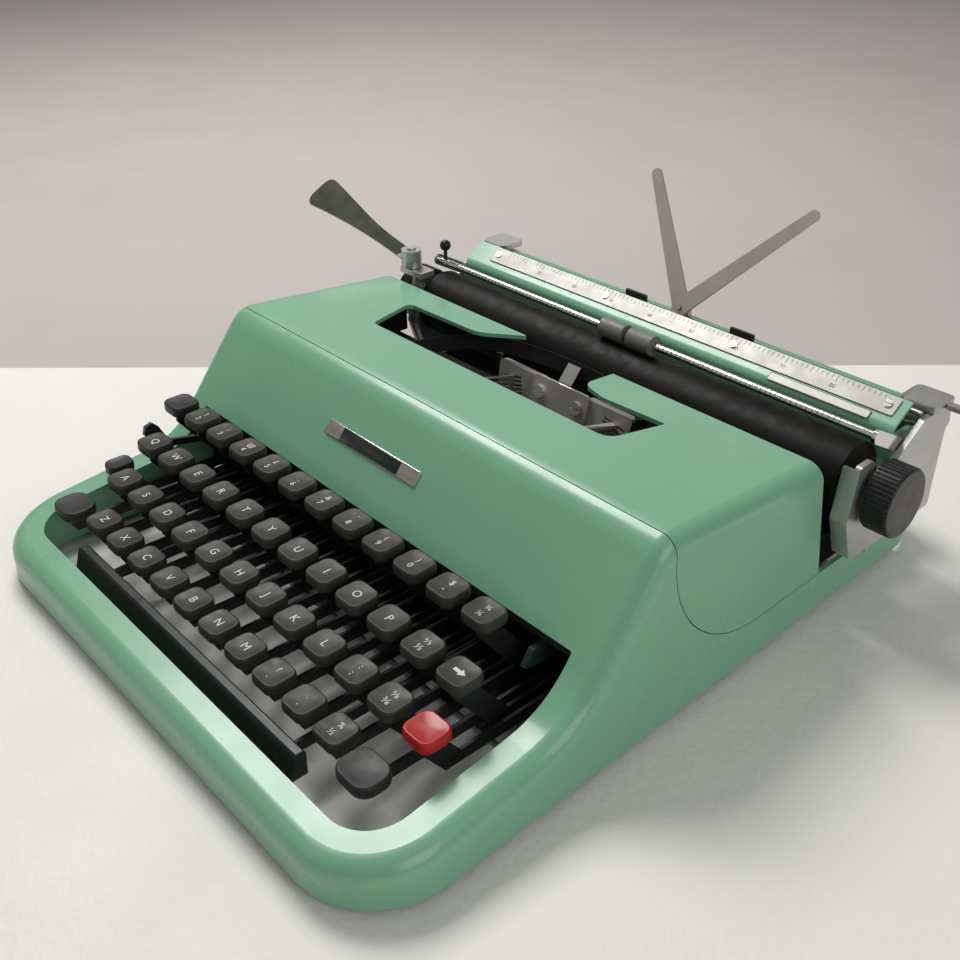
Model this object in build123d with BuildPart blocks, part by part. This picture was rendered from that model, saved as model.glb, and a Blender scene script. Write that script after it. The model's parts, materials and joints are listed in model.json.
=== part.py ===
from build123d import *
import math
import os

# Portable typewriter, millimetres, +Z up.
# The origin is the middle of the body's footprint on the plane of the feet. +X is the typist's
# right and +Y is the rear. The carriage stands a little to the right of the middle, as it does
# when a line has just been started.

# Body
BODY_WIDTH = 276.0
BODY_DEPTH = 326.0
FRONT_CORNER_RADIUS = 34.0
REAR_CORNER_RADIUS = 26.0
WALL = 2.0
FLOOR_GAP = 3.0
RIM_FRONT_HEIGHT = 19.0
RIM_SLOPE = 0.1
PANEL_FOOT_Y = -71.4
PANEL_SLOPE = 1.295
PANEL_TO_RIM_RADIUS = 39.0
CREST_Y = -27.7
CREST_RADIUS = 15.0
TOP_SLOPE = -0.095
EDGE_RADIUS = 7.0

# Keyboard opening
OPENING_HALF_WIDTH = 122.0
OPENING_FRONT_Y = -149.0
LIP_Y = -58.0
OPENING_CORNER_RADIUS = 18.0

# Ribbon cover
SEAM_GAP = 0.4
SEAM_Y = -24.5
SEAM_RADIUS = 55.0
SEAM_LOW_Z = 21.5
COVER_REAR_LOW_Y = 72.0
COVER_REAR_TOP_Y = 64.0
COVER_REAR_TOP_Z = 76.0
TRAY_STEP_Y = 148.5
REAR_WALL_HEIGHT = 42.0

# Keyboard
KEY_PITCH = 19.0
MIDDLE_COLUMN = 6.0
CAP_SIZE = 13.2
CAP_HEIGHT = 5.5
ROW_Y = {1: -74.0, 2: -93.8, 3: -112.2, 4: -128.3}
ROW_TOP = {1: 56.6, 2: 47.3, 3: 37.9, 4: 28.0}
LEVER_THICKNESS = 1.4
LEVER_HEIGHT = 5.0
FULCRUM_Y = 40.0
FULCRUM_Z = 13.0
FULCRUM_DIAMETER = 3.0
LEVER_FRONT_RISE = 4.5
LEVER_TAIL = 4.5
SHAFT_CLEARANCE = 0.05
STATIC_CLEARANCE = 0.3

# Feet and the shelves that carry them
FOOT_WIDTH = 9.0
FOOT_LENGTH = 26.0
WEB_Z = 5.0
WEB_THICKNESS = 2.0
FRONT_FOOT_Y = -112.0
REAR_FOOT_Y = 126.0
FOOT_X = 130.0
SHELF_Y = (-36.0, REAR_FOOT_Y)

# Chassis
SIDE_PLATE_X = 124.0
SIDE_PLATE_THICKNESS = 2.0
CHASSIS_FRONT_Y = -52.0
CHASSIS_REAR_Y = 140.0
CHASSIS_LOW_HEIGHT = 24.0
CHASSIS_HIGH_HEIGHT = 56.0
COMB_Y = CHASSIS_FRONT_Y + 14.0
COMB_THICKNESS = 2.0
COMB_LOW_Z = 3.2
RAIL_Y = 104.0
RAIL_TOP_Z = 29.0

# Carriage
CARRIAGE_REST_X = 10.5
CARRIAGE_HALF = 137.0
END_PLATE_THICKNESS = 2.5
PLATEN_Y = 88.6
PLATEN_Z = 59.0
PLATEN_DIAMETER = 34.0
PLATEN_SHAFT_DIAMETER = 8.0
KNOB_DIAMETER = 30.0
KNOB_WIDTH = 12.0
BAIL_Y = 91.0
BAIL_Z = 81.0
BAIL_DIAMETER = 3.6
BAIL_ROLLER_DIAMETER = 9.6
BAIL_PIVOT_Y = 112.0
BAIL_PIVOT_Z = 69.0
TABLE_LEAN = 30.0
RULER_WIDTH = 9.4
SUPPORT_X = 14.8
SUPPORT_Y = 129.0
SUPPORT_Z = 84.0
SUPPORT_LEAN = 57.0
SUPPORT_SPREAD = 38.0
SUPPORT_LENGTH = 76.0
SUPPORT_THICKNESS = 1.2
SUPPORT_PIN_DIAMETER = 3.0

# Type basket
BASKET_Y = 65.0
BASKET_Z = 58.0
BASKET_TILT = 15.0
GUIDE_TOP = (70.3, 67.4)
TYPEBAR_RADIUS = 34.0
TYPEBAR_COUNT = 43

HALF = BODY_WIDTH / 2
FRONT = -BODY_DEPTH / 2
REAR = BODY_DEPTH / 2
REACH = 400.0
KEY_ROWS = {
    1: ("2", "3", "4", "5", "6", "7", "8", "9", "0", "hyphen", "three_quarters"),
    2: ("q", "w", "e", "r", "t", "y", "u", "i", "o", "p", "one_third"),
    3: ("a", "s", "d", "f", "g", "h", "j", "k", "l", "semicolon", "eighths"),
    4: ("z", "x", "c", "v", "b", "n", "m", "comma", "period", "one_half"),
}
ROW_FIRST_COLUMN = {1: 1.0, 2: 0.5, 3: 0.75, 4: 1.25}


def rim_z(y):
    """Height of the flat rim over a place along the depth."""
    return RIM_FRONT_HEIGHT + RIM_SLOPE * (y - FRONT)


PANEL_FOOT = (PANEL_FOOT_Y, rim_z(PANEL_FOOT_Y))
CREST = (CREST_Y, PANEL_FOOT[1] + PANEL_SLOPE * (CREST_Y - PANEL_FOOT_Y))
HOOD_END_Y = COVER_REAR_LOW_Y + 14.0


def top_z(y):
    """Height of the cover's top over a place along the depth."""
    return CREST[1] + TOP_SLOPE * (y - CREST_Y)


def rear_edge_y(z):
    """Place of the cover's rear edge at a height."""
    share = (z - SEAM_LOW_Z) / (COVER_REAR_TOP_Z - SEAM_LOW_Z)
    return COVER_REAR_LOW_Y + (COVER_REAR_TOP_Y - COVER_REAR_LOW_Y) * share


def hood_block(inset):
    """The body's front and hood as a solid block, drawn in by the inset on every side."""
    below = -20.0
    with BuildPart() as block:
        with BuildSketch(Plane.YZ):
            with BuildLine():
                outline = FilletPolyline(
                    (FRONT, RIM_FRONT_HEIGHT),
                    PANEL_FOOT,
                    CREST,
                    (HOOD_END_Y, top_z(HOOD_END_Y)),
                    radius=[PANEL_TO_RIM_RADIUS, CREST_RADIUS],
                )
                Polyline(outline @ 1, (HOOD_END_Y, below), (FRONT, below), outline @ 0)
            make_face()
            if inset:
                offset(amount=-inset, kind=Kind.INTERSECTION)
        extrude(amount=HALF - inset, both=True)
        with BuildSketch(Plane.XY.offset(below)):
            with BuildLine():
                side = HALF - inset
                near = FRONT + inset
                curve = FRONT_CORNER_RADIUS - inset
                Polyline(
                    (side, near + curve), (side, HOOD_END_Y), (-side, HOOD_END_Y), (-side, near + curve)
                )
                RadiusArc((-side, near + curve), (-side + curve, near), -curve)
                Line((-side + curve, near), (side - curve, near))
                RadiusArc((side - curve, near), (side, near + curve), -curve)
            make_face()
        extrude(amount=200, mode=Mode.INTERSECT)
        tops = block.faces().filter_by(lambda f: f.normal_at(f.center()).Z > 0.15)
        rears = block.faces().sort_by(Axis.Y)[-1].edges()
        rim = [
            e
            for e in tops.edges()
            if sum(1 for f in tops if e in f.edges()) == 1 and e not in rears
        ]
        fillet(rim, EDGE_RADIUS - inset)
    return block.part


def cover_region(gap):
    """Everything above the cover's seam line, grown by the gap, as a prism across the body."""
    high = 120.0
    front = SEAM_Y - gap
    low = SEAM_LOW_Z - gap
    radius = SEAM_RADIUS + gap
    with BuildPart() as region:
        with BuildSketch(Plane.YZ):
            with BuildLine():
                Line((front, high), (front, SEAM_LOW_Z + SEAM_RADIUS))
                RadiusArc(
                    (front, SEAM_LOW_Z + SEAM_RADIUS), (SEAM_Y + SEAM_RADIUS, low), -radius
                )
                if gap:
                    Polyline(
                        (SEAM_Y + SEAM_RADIUS, low),
                        (HOOD_END_Y + 5, low),
                        (HOOD_END_Y + 5, high),
                        (front, high),
                    )
                else:
                    Polyline(
                        (SEAM_Y + SEAM_RADIUS, low),
                        (COVER_REAR_LOW_Y, low),
                        (rear_edge_y(high), high),
                        (front, high),
                    )
            make_face()
        extrude(amount=REACH / 2, both=True)
    return region.part


def round_rect(half_width, front, rear, front_radius, rear_radius):
    """A rectangle with its own corner radius at the front and at the rear, as closed lines."""
    with BuildSketch() as shape:
        with BuildLine():
            Line((-half_width + front_radius, front), (half_width - front_radius, front))
            Line((half_width, front + front_radius), (half_width, rear - rear_radius))
            Line((half_width - rear_radius, rear), (-half_width + rear_radius, rear))
            Line((-half_width, rear - rear_radius), (-half_width, front + front_radius))
            RadiusArc((half_width - front_radius, front), (half_width, front + front_radius), -front_radius)
            RadiusArc((half_width, rear - rear_radius), (half_width - rear_radius, rear), -rear_radius)
            RadiusArc((-half_width + rear_radius, rear), (-half_width, rear - rear_radius), -rear_radius)
            RadiusArc((-half_width, front + front_radius), (-half_width + front_radius, front), -front_radius)
        make_face()
    return shape.sketch


def box_between(x1, x2, y1, y2, z1, z2):
    """A plain block between two corners, kept out of any open builder."""
    middle = Pos((x1 + x2) / 2, (y1 + y2) / 2, (z1 + z2) / 2)
    return middle * Box(x2 - x1, y2 - y1, z2 - z1, mode=Mode.PRIVATE)


hood_outer = hood_block(0)
hood_inner = hood_block(WALL)
above_floor = box_between(-REACH, REACH, -REACH, REACH, FLOOR_GAP, REACH)


def block_on(z, height, x1, x2, y1, y2):
    """A block standing on a height, between two places across and two along the depth."""
    return box_between(min(x1, x2), max(x1, x2), y1, y2, z, z + height)


def tray_wall(front, height):
    """The upright wall of the rear tray behind a place along the depth, standing on the ground plane."""
    with BuildPart() as wall:
        with BuildSketch(Plane.XY):
            add(round_rect(HALF, front - 60, REAR, 1.0, REAR_CORNER_RADIUS))
            add(round_rect(HALF - WALL, front - 80, REAR - WALL, 1.0, REAR_CORNER_RADIUS - WALL),
                mode=Mode.SUBTRACT)
            with Locations((0, front - REACH / 2)):
                Rectangle(REACH, REACH, mode=Mode.SUBTRACT)
        extrude(amount=height)
    return wall.part


def lower_housing():
    """Painted lower body: rim, front panel, side walls and rear tray in one sheet-metal shell."""
    join_y = COVER_REAR_LOW_Y - 10.0
    with BuildPart() as walls:
        with BuildSketch(Plane.XY):
            add(round_rect(OPENING_HALF_WIDTH + WALL, OPENING_FRONT_Y - WALL, LIP_Y,
                           OPENING_CORNER_RADIUS + WALL, 1.0))
        extrude(amount=REACH / 2)
        add(hood_outer, mode=Mode.INTERSECT)
    with BuildPart() as shell:
        add(hood_outer)
        add(hood_inner, mode=Mode.SUBTRACT)
        add(cover_region(SEAM_GAP), mode=Mode.SUBTRACT)
        add(box_between(-REACH, REACH, join_y, REACH, -REACH, REACH), mode=Mode.SUBTRACT)
        add(tray_wall(join_y, SEAM_LOW_Z - SEAM_GAP))
        add(tray_wall(TRAY_STEP_Y, REAR_WALL_HEIGHT))
        add(walls.part)
        with BuildSketch(Plane.XY.offset(-50)):
            add(round_rect(OPENING_HALF_WIDTH, OPENING_FRONT_Y, LIP_Y, OPENING_CORNER_RADIUS, 0.6))
        extrude(amount=REACH, mode=Mode.SUBTRACT)
        add(above_floor, mode=Mode.INTERSECT)
        for side in (-1, 1):
            outer = side * (HALF - WALL / 2)
            inner = side * (OPENING_HALF_WIDTH + WALL / 2)
            add(block_on(WEB_Z, WEB_THICKNESS, inner, outer, FRONT_FOOT_Y - 16, FRONT_FOOT_Y + 16))
            shelf = side * (SIDE_PLATE_X - SIDE_PLATE_THICKNESS / 2 + STATIC_CLEARANCE)
            for y in SHELF_Y:
                add(block_on(WEB_Z, WEB_THICKNESS, shelf, outer, y - 14, y + 14))
    return shell.part


def ribbon_cover():
    """Lift-off cover over the type basket, with the window in front of the platen."""
    window_front, window_rear = 13.0, 45.0
    left_front, left_rear = -80.0, -92.0
    right_front, right_rear = 72.0, 77.0
    left_tip, right_tip = -27.0, 29.0
    with BuildPart() as cover:
        add(hood_outer)
        add(hood_inner, mode=Mode.SUBTRACT)
        add(cover_region(0), mode=Mode.INTERSECT)
        with BuildSketch(Plane.XY.offset(60)):
            with BuildLine():
                edge = FilletPolyline(
                    (left_tip, REACH / 2),
                    (left_tip, 63.0),
                    (-43.0, 47.0),
                    (left_rear, window_rear),
                    (left_front, window_front),
                    (right_front, window_front),
                    (right_rear, window_rear - 2.5),
                    (44.0, 40.5),
                    (right_tip, 45.0),
                    (right_tip, REACH / 2),
                    radius=[0.5, 14.0, 3.0, 5.0, 7.0, 0.8, 12.0, 7.0],
                )
                Line(edge @ 1, edge @ 0)
            make_face()
        extrude(amount=60, mode=Mode.SUBTRACT)
    return cover.part


def lever_top(y):
    """Height of a key lever's top edge over a place along the depth."""
    share = (FULCRUM_Y - y) / (FULCRUM_Y - ROW_Y[4])
    return FULCRUM_Z + LEVER_HEIGHT / 2 + LEVER_FRONT_RISE * share


def key_lever(x, front_y, cap_bottom, thickness=LEVER_THICKNESS):
    """Straight lever from the fulcrum to the key, with the riser that carries the cap."""
    riser_depth = 7.0
    run = max(cap_bottom - lever_top(front_y), 0.0) * 0.8
    with BuildPart() as lever:
        with BuildSketch(Plane.YZ.offset(x - thickness / 2)):
            with BuildLine():
                start = front_y - riser_depth / 2
                Polyline(
                    (start, cap_bottom),
                    (start + riser_depth, cap_bottom),
                    (start + riser_depth + run, lever_top(start + riser_depth + run)),
                    (FULCRUM_Y + LEVER_TAIL, lever_top(FULCRUM_Y + LEVER_TAIL)),
                    (FULCRUM_Y + LEVER_TAIL, lever_top(FULCRUM_Y + LEVER_TAIL) - LEVER_HEIGHT),
                    (start + run, lever_top(start + run) - LEVER_HEIGHT),
                    (start, min(cap_bottom - 3.0, lever_top(start) - 1.0) if run < 6 else cap_bottom - 4.0),
                    close=True,
                )
            make_face()
            with Locations((FULCRUM_Y, FULCRUM_Z)):
                Circle(FULCRUM_DIAMETER / 2 + SHAFT_CLEARANCE, mode=Mode.SUBTRACT)
        extrude(amount=thickness)
    return lever.part


def key_cap(x, y, top, width=CAP_SIZE, depth=CAP_SIZE, height=CAP_HEIGHT, radius=3.0):
    """Moulded key top with rounded corners and slightly drawn-in sides."""
    with BuildPart() as cap:
        with BuildSketch(Plane.XY.offset(top - height)):
            with Locations((x, y)):
                RectangleRounded(width, depth, radius)
        extrude(amount=height, taper=4)
        fillet(cap.faces().sort_by(Axis.Z)[-1].edges(), 0.8)
    return cap.part


def key(x, y, top):
    """A key: cap and lever in one node, carried by the fulcrum shaft."""
    return separate(key_lever(x, y, top - CAP_HEIGHT), key_cap(x, y, top))


def save(part, name):
    """Label a finished piece and write it as its own file."""
    part.label = name
    export_step(part, f"parts/{name}.step")


def column_x(column):
    """Sideways place of a keyboard column."""
    return (column - MIDDLE_COLUMN) * KEY_PITCH


def separate(*solids):
    """Several pieces that share a node but stay separate solids."""
    return Compound(children=[s for piece in solids for s in piece.solids()])


# Special keys
SHIFT_SIZE = (18.0, 15.0)
SHIFT_TOP = 28.5
SHIFT_Y = -132.6
SHIFT_X = (-110.0, 101.5)
SHIFT_ARM_X = (-109.25, 99.75)
TAB_X = column_x(11.75)
ARROW_X = column_x(11.5)
MARGIN_X = column_x(0)
LOCK_X = column_x(-0.25)
LOCK_CAP_X = -116.6
SPACE_X = (-84.0, 78.5)
SPACE_Y = (-146.5, -139.5)
SPACE_Z = (13.5, 23.6)
SPACE_TOP_WIDTH = 4.0
SPACE_ARM_X = (-63.55, 69.45)
SPACE_ARM_THICKNESS = 1.2
LINK_Y = 48.0
LINK_Z = 12.0
LINK_DIAMETER = 3.6
COMB_TOP_Z = lever_top(COMB_Y) + 8.0
SELECTOR_X = 105.0
SELECTOR_THICKNESS = 2.6
TOUCH_X = -116.4
TOUCH_THICKNESS = 2.0
BASKET_OUTER_RADIUS = TYPEBAR_RADIUS + 9.0
BASKET_POST_DIAMETER = 4.0
BASKET_POST_X = BASKET_OUTER_RADIUS + 0.4 + BASKET_POST_DIAMETER / 2
BASKET_BAR_TOP_Z = 10.0


def straight_arm(x, front_y, thickness):
    """Level arm on the fulcrum shaft, as deep as a key lever."""
    rear_y = FULCRUM_Y + LEVER_TAIL
    with BuildPart() as arm:
        with BuildSketch(Plane.YZ.offset(x - thickness / 2)):
            with BuildLine():
                Polyline(
                    (front_y, lever_top(front_y)),
                    (rear_y, lever_top(rear_y)),
                    (rear_y, lever_top(rear_y) - LEVER_HEIGHT),
                    (front_y, lever_top(front_y) - LEVER_HEIGHT),
                    close=True,
                )
            make_face()
            with Locations((FULCRUM_Y, FULCRUM_Z)):
                Circle(FULCRUM_DIAMETER / 2 + SHAFT_CLEARANCE, mode=Mode.SUBTRACT)
        extrude(amount=thickness)
    return arm.part


def space_bar():
    """Wedge-section bar on two arms."""
    with BuildPart() as wedge:
        with BuildSketch(Plane.YZ.offset(SPACE_X[0])):
            with BuildLine():
                Polyline(
                    (SPACE_Y[0], SPACE_Z[0]),
                    (SPACE_Y[1], SPACE_Z[0]),
                    (SPACE_Y[1], SPACE_Z[1]),
                    (SPACE_Y[1] - SPACE_TOP_WIDTH, SPACE_Z[1]),
                    close=True,
                )
            make_face()
        extrude(amount=SPACE_X[1] - SPACE_X[0])
        fillet(wedge.faces().sort_by(Axis.Z)[-1].edges(), 0.9)
    arms = [straight_arm(x, SPACE_Y[1], SPACE_ARM_THICKNESS) for x in SPACE_ARM_X]
    return separate(wedge.part, *arms)


def shift_keys():
    """Left and right shift keys on arms joined by a cross tube behind the fulcrum."""
    pieces = []
    for x, arm_x in zip(SHIFT_X, SHIFT_ARM_X):
        pieces.append(key_lever(arm_x, SHIFT_Y, SHIFT_TOP - CAP_HEIGHT))
        pieces.append(key_cap(x, SHIFT_Y, SHIFT_TOP, *SHIFT_SIZE, radius=5.0))
        pieces.append(block_on(LINK_Z - 1.5, 3.0, arm_x - LEVER_THICKNESS / 2,
                               arm_x + LEVER_THICKNESS / 2, FULCRUM_Y + LEVER_TAIL,
                               LINK_Y - LINK_DIAMETER / 2))
    with BuildPart() as tube:
        with BuildSketch(Plane.YZ.offset(SHIFT_ARM_X[0] - LEVER_THICKNESS / 2)):
            with Locations((LINK_Y, LINK_Z)):
                Circle(LINK_DIAMETER / 2)
        extrude(amount=SHIFT_ARM_X[1] - SHIFT_ARM_X[0] + LEVER_THICKNESS)
    return separate(*pieces, tube.part)


def chassis_frame():
    """Steel frame: side plates, fulcrum shaft, key comb, cross bars, carriage rail, feet, spools."""
    plate_low = WEB_Z + WEB_THICKNESS
    pieces = []
    for side in (-1, 1):
        with BuildPart() as plate:
            with BuildSketch(Plane.YZ.offset(side * SIDE_PLATE_X - SIDE_PLATE_THICKNESS / 2)):
                with BuildLine():
                    FilletPolyline(
                        (CHASSIS_FRONT_Y, plate_low),
                        (CHASSIS_REAR_Y, plate_low),
                        (CHASSIS_REAR_Y, CHASSIS_LOW_HEIGHT),
                        (COVER_REAR_TOP_Y - 8, CHASSIS_LOW_HEIGHT),
                        (COVER_REAR_TOP_Y - 20, CHASSIS_HIGH_HEIGHT),
                        (-8.0, CHASSIS_HIGH_HEIGHT),
                        (CHASSIS_FRONT_Y, 30.0),
                        close=True,
                        radius=4.0,
                    )
                make_face()
                with Locations((FULCRUM_Y, FULCRUM_Z)):
                    Circle(FULCRUM_DIAMETER / 2, mode=Mode.SUBTRACT)
            extrude(amount=SIDE_PLATE_THICKNESS)
        pieces.append(plate.part)
    inner = SIDE_PLATE_X - SIDE_PLATE_THICKNESS / 2
    with BuildPart() as shaft:
        with BuildSketch(Plane.YZ.offset(-inner - SIDE_PLATE_THICKNESS)):
            with Locations((FULCRUM_Y, FULCRUM_Z)):
                Circle(FULCRUM_DIAMETER / 2)
        extrude(amount=2 * (inner + SIDE_PLATE_THICKNESS))
    pieces.append(shaft.part)
    with BuildPart() as rail:
        with BuildSketch(Plane.YZ.offset(-inner)):
            with BuildLine():
                Polyline(
                    (RAIL_Y - 8, plate_low),
                    (RAIL_Y + 8, plate_low),
                    (RAIL_Y + 8, RAIL_TOP_Z - 5),
                    (RAIL_Y + 3, RAIL_TOP_Z),
                    (RAIL_Y - 3, RAIL_TOP_Z),
                    (RAIL_Y - 8, RAIL_TOP_Z - 5),
                    close=True,
                )
            make_face()
            offset(amount=-2.0, mode=Mode.SUBTRACT)
        extrude(amount=2 * inner)
    pieces.append(rail.part)
    with BuildPart() as comb:
        add(box_between(-inner, inner, COMB_Y, COMB_Y + COMB_THICKNESS, COMB_LOW_Z, COMB_TOP_Z))
        for row, names in KEY_ROWS.items():
            for number in range(len(names)):
                add(comb_slot(column_x(ROW_FIRST_COLUMN[row] + number)), mode=Mode.SUBTRACT)
        for x in (*SHIFT_ARM_X, TAB_X, ARROW_X, MARGIN_X, LOCK_X, *SPACE_ARM_X):
            add(comb_slot(x), mode=Mode.SUBTRACT)
    pieces.append(comb.part)
    pieces.append(rod_along_x(-inner, inner, -20.0, 44.0, 5.0))
    pieces.append(box_between(-inner, inner, BASKET_Y - 4.0, BASKET_Y + 2.0, plate_low, BASKET_BAR_TOP_Z))
    for side in (-1, 1):
        with BuildPart() as guide_post:
            with BuildSketch(Plane.XY.offset(BASKET_BAR_TOP_Z)):
                with Locations((side * BASKET_POST_X, BASKET_Y - 1.0)):
                    Circle(BASKET_POST_DIAMETER / 2)
            extrude(amount=BASKET_Z + 2.0 - BASKET_BAR_TOP_Z)
        pieces.append(guide_post.part)
    for side in (-1, 1):
        for y in (FRONT_FOOT_Y, REAR_FOOT_Y):
            with BuildPart() as foot:
                with BuildSketch(Plane.XY):
                    with Locations((side * FOOT_X, y)):
                        RectangleRounded(FOOT_WIDTH, FOOT_LENGTH, 4.0)
                extrude(amount=WEB_Z)
            pieces.append(foot.part)
        with BuildPart() as spool:
            for z, radius, height in ((50.0, 5.0, 16.0), (52.0, 22.0, 1.2), (53.2, 17.0, 9.0), (62.2, 22.0, 1.2)):
                with BuildSketch(Plane.XY.offset(z)):
                    with Locations((side * 84.0, 5.0)):
                        Circle(radius)
                extrude(amount=height)
        pieces.append(spool.part)
        pieces.append(block_on(48.0, 2.0, side * 60.0, side * (SIDE_PLATE_X - 1), -14.0, 24.0))
    pieces.append(comb_lever(SELECTOR_X, SELECTOR_THICKNESS, ((-56.0, 30.0), (-65.0, 32.0), (-61.0, 38.0),
                                                              (-55.0, 38.0))))
    pieces.append(comb_lever(TOUCH_X, TOUCH_THICKNESS, ((-82.0, 35.0), (-90.0, 41.0), (-93.5, 45.0),
                                                        (-92.5, 49.0), (-89.0, 50.0), (-86.0, 47.0),
                                                        (-82.0, 38.5))))
    return separate(*pieces)


def comb_lever(x, thickness, head):
    """Setting lever that stands on the key comb, its head given as points of the side view."""
    with BuildPart() as lever:
        with BuildSketch(Plane.YZ.offset(x - thickness / 2)):
            with BuildLine():
                Polyline(
                    *head,
                    (COMB_Y + COMB_THICKNESS, COMB_TOP_Z + 2.4),
                    (COMB_Y + COMB_THICKNESS, COMB_TOP_Z),
                    (COMB_Y, COMB_TOP_Z),
                    close=True,
                )
            make_face()
        extrude(amount=thickness)
    return lever.part


def comb_slot(x):
    """Slot in the key comb for one lever and its whole travel."""
    width = LEVER_THICKNESS + 0.8
    return box_between(x - width / 2, x + width / 2, COMB_Y - 1.0, COMB_Y + COMB_THICKNESS + 1.0,
                       COMB_LOW_Z + 1.0, lever_top(COMB_Y) + 1.0)


def rod_along_x(x1, x2, y, z, diameter):
    """A round rod across the machine."""
    with BuildPart() as rod:
        with BuildSketch(Plane.YZ.offset(x1)):
            with Locations((y, z)):
                Circle(diameter / 2)
        extrude(amount=x2 - x1)
    return rod.part


def sheet_profile(points, x1, x2, thickness, radius=2.0):
    """Bent sheet metal: an open line of the side view, thickened and run across the machine."""
    with BuildPart() as sheet:
        with BuildSketch(Plane.YZ.offset(x1)):
            with BuildLine():
                if len(points) > 2:
                    FilletPolyline(*points, radius=radius)
                else:
                    Line(*points)
            trace(line_width=thickness)
        extrude(amount=x2 - x1)
    return sheet.part


def type_basket():
    """Slotted segment, its screws, the typebars at rest, the type guide and the ribbon carrier."""
    tilt = math.radians(BASKET_TILT)
    outer = BASKET_OUTER_RADIUS
    inner = 15.0
    thickness = 5.0
    forward = Vector(0, -math.cos(tilt), math.sin(tilt))
    upward = Vector(0, math.sin(tilt), math.cos(tilt))
    centre = Vector(0, BASKET_Y, BASKET_Z)
    face = Plane(origin=centre, x_dir=(1, 0, 0), z_dir=forward)
    slot_width = 1.1
    bar_width = 0.8
    step = 160.0 / (TYPEBAR_COUNT - 1)
    bars = []
    with BuildPart() as segment:
        with BuildSketch(face):
            Circle(outer)
            Circle(inner, mode=Mode.SUBTRACT)
            with Locations((0, REACH / 2)):
                Rectangle(REACH, REACH, mode=Mode.SUBTRACT)
        extrude(amount=thickness / 2, both=True)
        with BuildSketch(face.offset(thickness / 2)):
            for number in range(TYPEBAR_COUNT):
                turn = -80.0 + step * number
                with PolarLocations(TYPEBAR_RADIUS, 1, start_angle=turn - 90):
                    Rectangle(13.0, slot_width)
        extrude(amount=-thickness * 0.6, mode=Mode.SUBTRACT)
    pieces = [segment.part]
    for number in range(TYPEBAR_COUNT):
        turn = math.radians(-80.0 + step * number)
        out = Vector(1, 0, 0) * math.sin(turn) - upward * math.cos(turn)
        side = out.cross(forward)
        pivot = centre + out * TYPEBAR_RADIUS + forward * (thickness / 2)
        frame = Plane(origin=pivot, x_dir=side, z_dir=forward)
        with BuildPart() as typebar:
            with BuildSketch(frame):
                Rectangle(bar_width, 3.0)
            extrude(amount=TYPEBAR_RADIUS - 7.0)
            with BuildSketch(frame.offset(TYPEBAR_RADIUS - 7.0)):
                Rectangle(1.9, 6.5)
            extrude(amount=5.0)
        pieces.append(typebar.part)
    for side_x in (-12.0, 12.0):
        seat = centre + forward * (thickness / 2 + 2.0) - upward * 6.0 + Vector(side_x, 0, 0)
        pieces.append(slotted_screw(Plane(origin=seat, x_dir=(1, 0, 0), z_dir=forward), 6.4, 1.6))
    with BuildPart() as bridge:
        with BuildSketch(face.offset(thickness / 2)):
            with Locations((0, -6.0)):
                RectangleRounded(36.0, 15.0, 3.0)
        extrude(amount=2.0)
    pieces.append(bridge.part)
    guide = [(BASKET_Y - 1.0, BASKET_Z - 0.5), (BASKET_Y - 1.0, BASKET_Z + 2.0), GUIDE_TOP]
    pieces.append(sheet_profile(guide, -4.0, 4.0, 1.2, 1.0))
    return separate(*pieces)


def slotted_screw(plane, diameter, height):
    """Cheese-head screw head with a driver slot."""
    with BuildPart() as screw:
        with BuildSketch(plane):
            Circle(diameter / 2)
        extrude(amount=height)
        with BuildSketch(plane.offset(height)):
            Rectangle(diameter * 1.1, diameter * 0.16)
        extrude(amount=-height * 0.5, mode=Mode.SUBTRACT)
    return screw.part


END_PLATE_OUTLINE = (
    (77.0, 30.5),
    (99.0, 29.6),
    (140.0, 29.6),
    (143.0, 66.0),
    (146.0, 69.0),
    (144.0, 79.0),
    (122.0, 78.0),
    (104.0, 67.0),
    (90.0, 67.0),
    (84.0, 74.6),
    (75.0, 74.6),
    (70.5, 50.0),
)
FLANGE_WIDTH = 8.0
LEVER_PIVOT_Y = 79.0
LEVER_PIVOT_X_IN = 5.5
LEVER_POST_TOP = 81.5
LEVER_BRACKET_Z = 74.6
LEVER_BRACKET_HEIGHT = 3.0
CARRIAGE_RIGHT = CARRIAGE_REST_X + CARRIAGE_HALF
CARRIAGE_LEFT = CARRIAGE_REST_X - CARRIAGE_HALF
LEVER_PIVOT_X = CARRIAGE_LEFT - LEVER_PIVOT_X_IN
BED_Z = RAIL_TOP_Z + 1.2


def end_plate(x1, x2):
    """One flat end plate of the carriage with its bearing holes."""
    with BuildPart() as plate:
        with BuildSketch(Plane.YZ.offset(x1)):
            with BuildLine():
                FilletPolyline(*END_PLATE_OUTLINE, close=True, radius=2.0)
            make_face()
            with Locations((PLATEN_Y, PLATEN_Z)):
                Circle(PLATEN_SHAFT_DIAMETER / 2 + SHAFT_CLEARANCE, mode=Mode.SUBTRACT)
        extrude(amount=x2 - x1)
    return plate.part


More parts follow.
